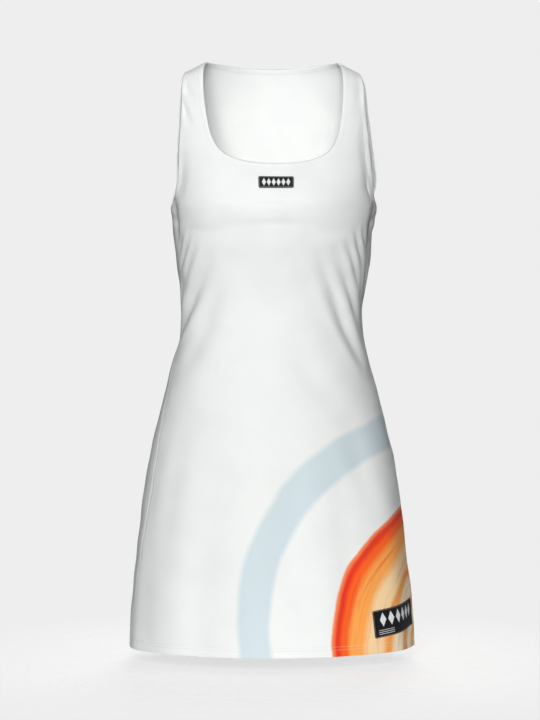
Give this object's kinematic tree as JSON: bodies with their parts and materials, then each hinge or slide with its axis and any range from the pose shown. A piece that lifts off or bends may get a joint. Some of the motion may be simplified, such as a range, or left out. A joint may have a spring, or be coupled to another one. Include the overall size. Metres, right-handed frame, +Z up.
{
  "type": "sports dress",
  "caption": "White sleeveless stretch sports dress with scoop neck, bound edges, fitted waist and flared short skirt, filled out as if worn.",
  "frame": {"origin": "midway between the two shoulder straps, level with their undersides, where the wearer's shoulders carry the dress", "axes": "+Z up, -Y out of the dress's front, +X towards the wearer's left"},
  "size_m": [0.3999, 0.2974, 0.8207],
  "materials": {
    "white_jersey": "smooth matte stretch knit",
    "white_binding": "smooth matte stretch knit, folded",
    "black_patch": "dense flat weave, slight sheen"
  },
  "bodies": {
    "root": {"front_panel": "white_jersey", "back_panel": "white_jersey", "neck_binding": "white_binding", "armhole_binding_left": "white_binding", "armhole_binding_right": "white_binding", "chest_patch": "black_patch", "hem_patch": "black_patch"}
  },
  "joints": []
}
